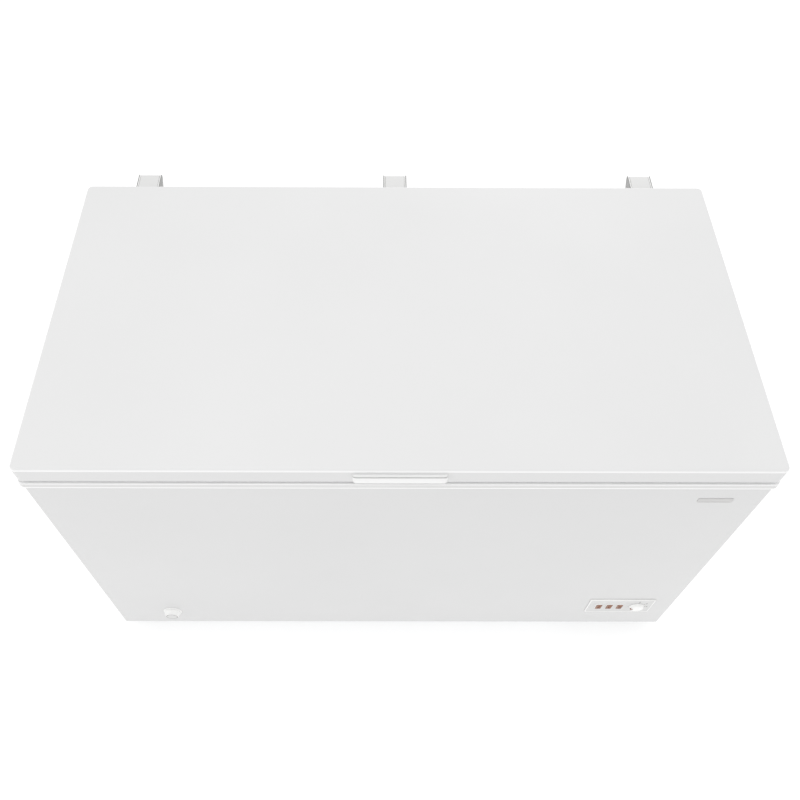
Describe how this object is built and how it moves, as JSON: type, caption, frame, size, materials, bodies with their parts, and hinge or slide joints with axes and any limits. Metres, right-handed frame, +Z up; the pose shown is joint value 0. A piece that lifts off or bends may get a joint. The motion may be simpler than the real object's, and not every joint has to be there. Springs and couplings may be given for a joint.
{
  "type": "chest freezer",
  "caption": "Long white chest freezer with a sprung hinged lid, a hanging wire basket, front controls and drain, rollers and a machine room.",
  "frame": {"origin": "on the floor, under the middle of the whole freezer's box, with its hinges and handle", "axes": "+X to the right along the length, +Y to the back, +Z up"},
  "size_m": [1.39, 0.797, 0.85],
  "materials": {
    "white_painted_steel": "gloss",
    "galvanised_steel": "satin",
    "zinc_plated_steel": "satin",
    "white_plastic": "gloss",
    "dark_plastic": "matte",
    "foam": "matte",
    "embossed_aluminium": "satin",
    "gasket_rubber": "satin",
    "black_rubber": "matte",
    "black_painted_steel": "satin",
    "copper": "satin",
    "badge_metal": "satin",
    "amber_lens": "gloss",
    "coated_wire": "satin",
    "hinge_steel": "satin",
    "roller_plastic": "matte"
  },
  "bodies": {
    "cabinet": {"badge": "badge_metal", "base_pan": "galvanised_steel", "cabinet_foam": "foam", "compressor": "black_painted_steel", "compressor_bolts": "zinc_plated_steel", "compressor_grommets": "black_rubber", "compressor_plate": "galvanised_steel", "condenser_coil": "copper", "control_panel": "white_plastic", "cord_gland": "dark_plastic", "cover_screws": "zinc_plated_steel", "discharge_pipe": "copper", "drain_spout": "white_plastic", "drain_tube": "white_plastic", "evaporator_coil": "copper", "filter_drier": "copper", "hinge_base_left": "zinc_plated_steel", "hinge_base_middle": "zinc_plated_steel", "hinge_base_right": "zinc_plated_steel", "hinge_base_screws": "zinc_plated_steel", "hinge_pins": "zinc_plated_steel", "hinge_springs": "zinc_plated_steel", "inner_liner": "embossed_aluminium", "lamp_frames": "dark_plastic", "lamp_left": "amber_lens", "lamp_middle": "amber_lens", "lamp_right": "amber_lens", "machine_room_liner": "galvanised_steel", "outer_wrapper": "white_painted_steel", "rear_cover": "white_painted_steel", "rear_panel": "white_painted_steel", "relay_cover": "dark_plastic", "roller_axles": "zinc_plated_steel", "roller_brackets": "zinc_plated_steel", "side_grille": "white_plastic", "suction_pipe": "copper", "thermostat": "dark_plastic", "top_collar": "white_plastic"},
    "lid": {"lid_outer_panel": "white_painted_steel", "lid_frame": "white_plastic", "lid_liner": "white_plastic", "lid_gasket": "gasket_rubber", "lid_foam": "foam", "lid_handle": "white_plastic", "hinge_arm_left": "hinge_steel", "hinge_arm_middle": "hinge_steel", "hinge_arm_right": "hinge_steel", "hinge_lid_screws": "zinc_plated_steel"},
    "plungers": {"hinge_plungers": "zinc_plated_steel"},
    "knob": {"thermostat_knob": "white_plastic", "thermostat_shaft": "zinc_plated_steel"},
    "drain_cap": {"drain_cap": "white_plastic"},
    "drain_plug": {"drain_plug": "white_plastic"},
    "basket": {"wire_basket": "coated_wire"},
    "wheel_front_left": {"roller_front_left": "roller_plastic"},
    "wheel_front_right": {"roller_front_right": "roller_plastic"},
    "wheel_rear_left": {"roller_rear_left": "roller_plastic"},
    "wheel_rear_right": {"roller_rear_right": "roller_plastic"}
  },
  "joints": [
    {"name": "lid_hinge", "type": "hinge", "parent": "cabinet", "child": "lid", "pos_m": [0, 0.3685, 0.802], "axis": [-1, 0, 0], "range_deg": [0, 80]},
    {"name": "hinge_plunger_lift", "type": "slide", "parent": "cabinet", "child": "plungers", "axis": [0, 0, 1], "range_m": [0, 0.0085], "deforming": ["hinge_springs"]},
    {"name": "thermostat_turn", "type": "hinge", "parent": "cabinet", "child": "knob", "pos_m": [0.6025, -0.391, 0.168], "axis": [0, -1, 0], "range_deg": [0, 280]},
    {"name": "drain_cap_pull", "type": "slide", "parent": "cabinet", "child": "drain_cap", "axis": [0, -1, 0], "range_m": [0, 0.045]},
    {"name": "drain_plug_lift", "type": "slide", "parent": "cabinet", "child": "drain_plug", "axis": [0, 0, 1], "range_m": [0, 0.06]},
    {"name": "basket_slide", "type": "slide", "parent": "cabinet", "child": "basket", "axis": [-1, 0, 0], "range_m": [0, 0.87]},
    {"name": "roll_front_left", "type": "hinge", "parent": "cabinet", "child": "wheel_front_left", "pos_m": [-0.627, -0.322, 0.022], "axis": [1, 0, 0], "continuous": true},
    {"name": "roll_front_right", "type": "hinge", "parent": "cabinet", "child": "wheel_front_right", "pos_m": [0.627, -0.322, 0.022], "axis": [1, 0, 0], "continuous": true},
    {"name": "roll_rear_left", "type": "hinge", "parent": "cabinet", "child": "wheel_rear_left", "pos_m": [-0.627, 0.285, 0.022], "axis": [1, 0, 0], "continuous": true},
    {"name": "roll_rear_right", "type": "hinge", "parent": "cabinet", "child": "wheel_rear_right", "pos_m": [0.627, 0.285, 0.022], "axis": [1, 0, 0], "continuous": true}
  ],
  "couplings": [
    {"joint": "hinge_plunger_lift", "follows": "lid_hinge", "m_per_rad": 0.0057296}
  ]
}
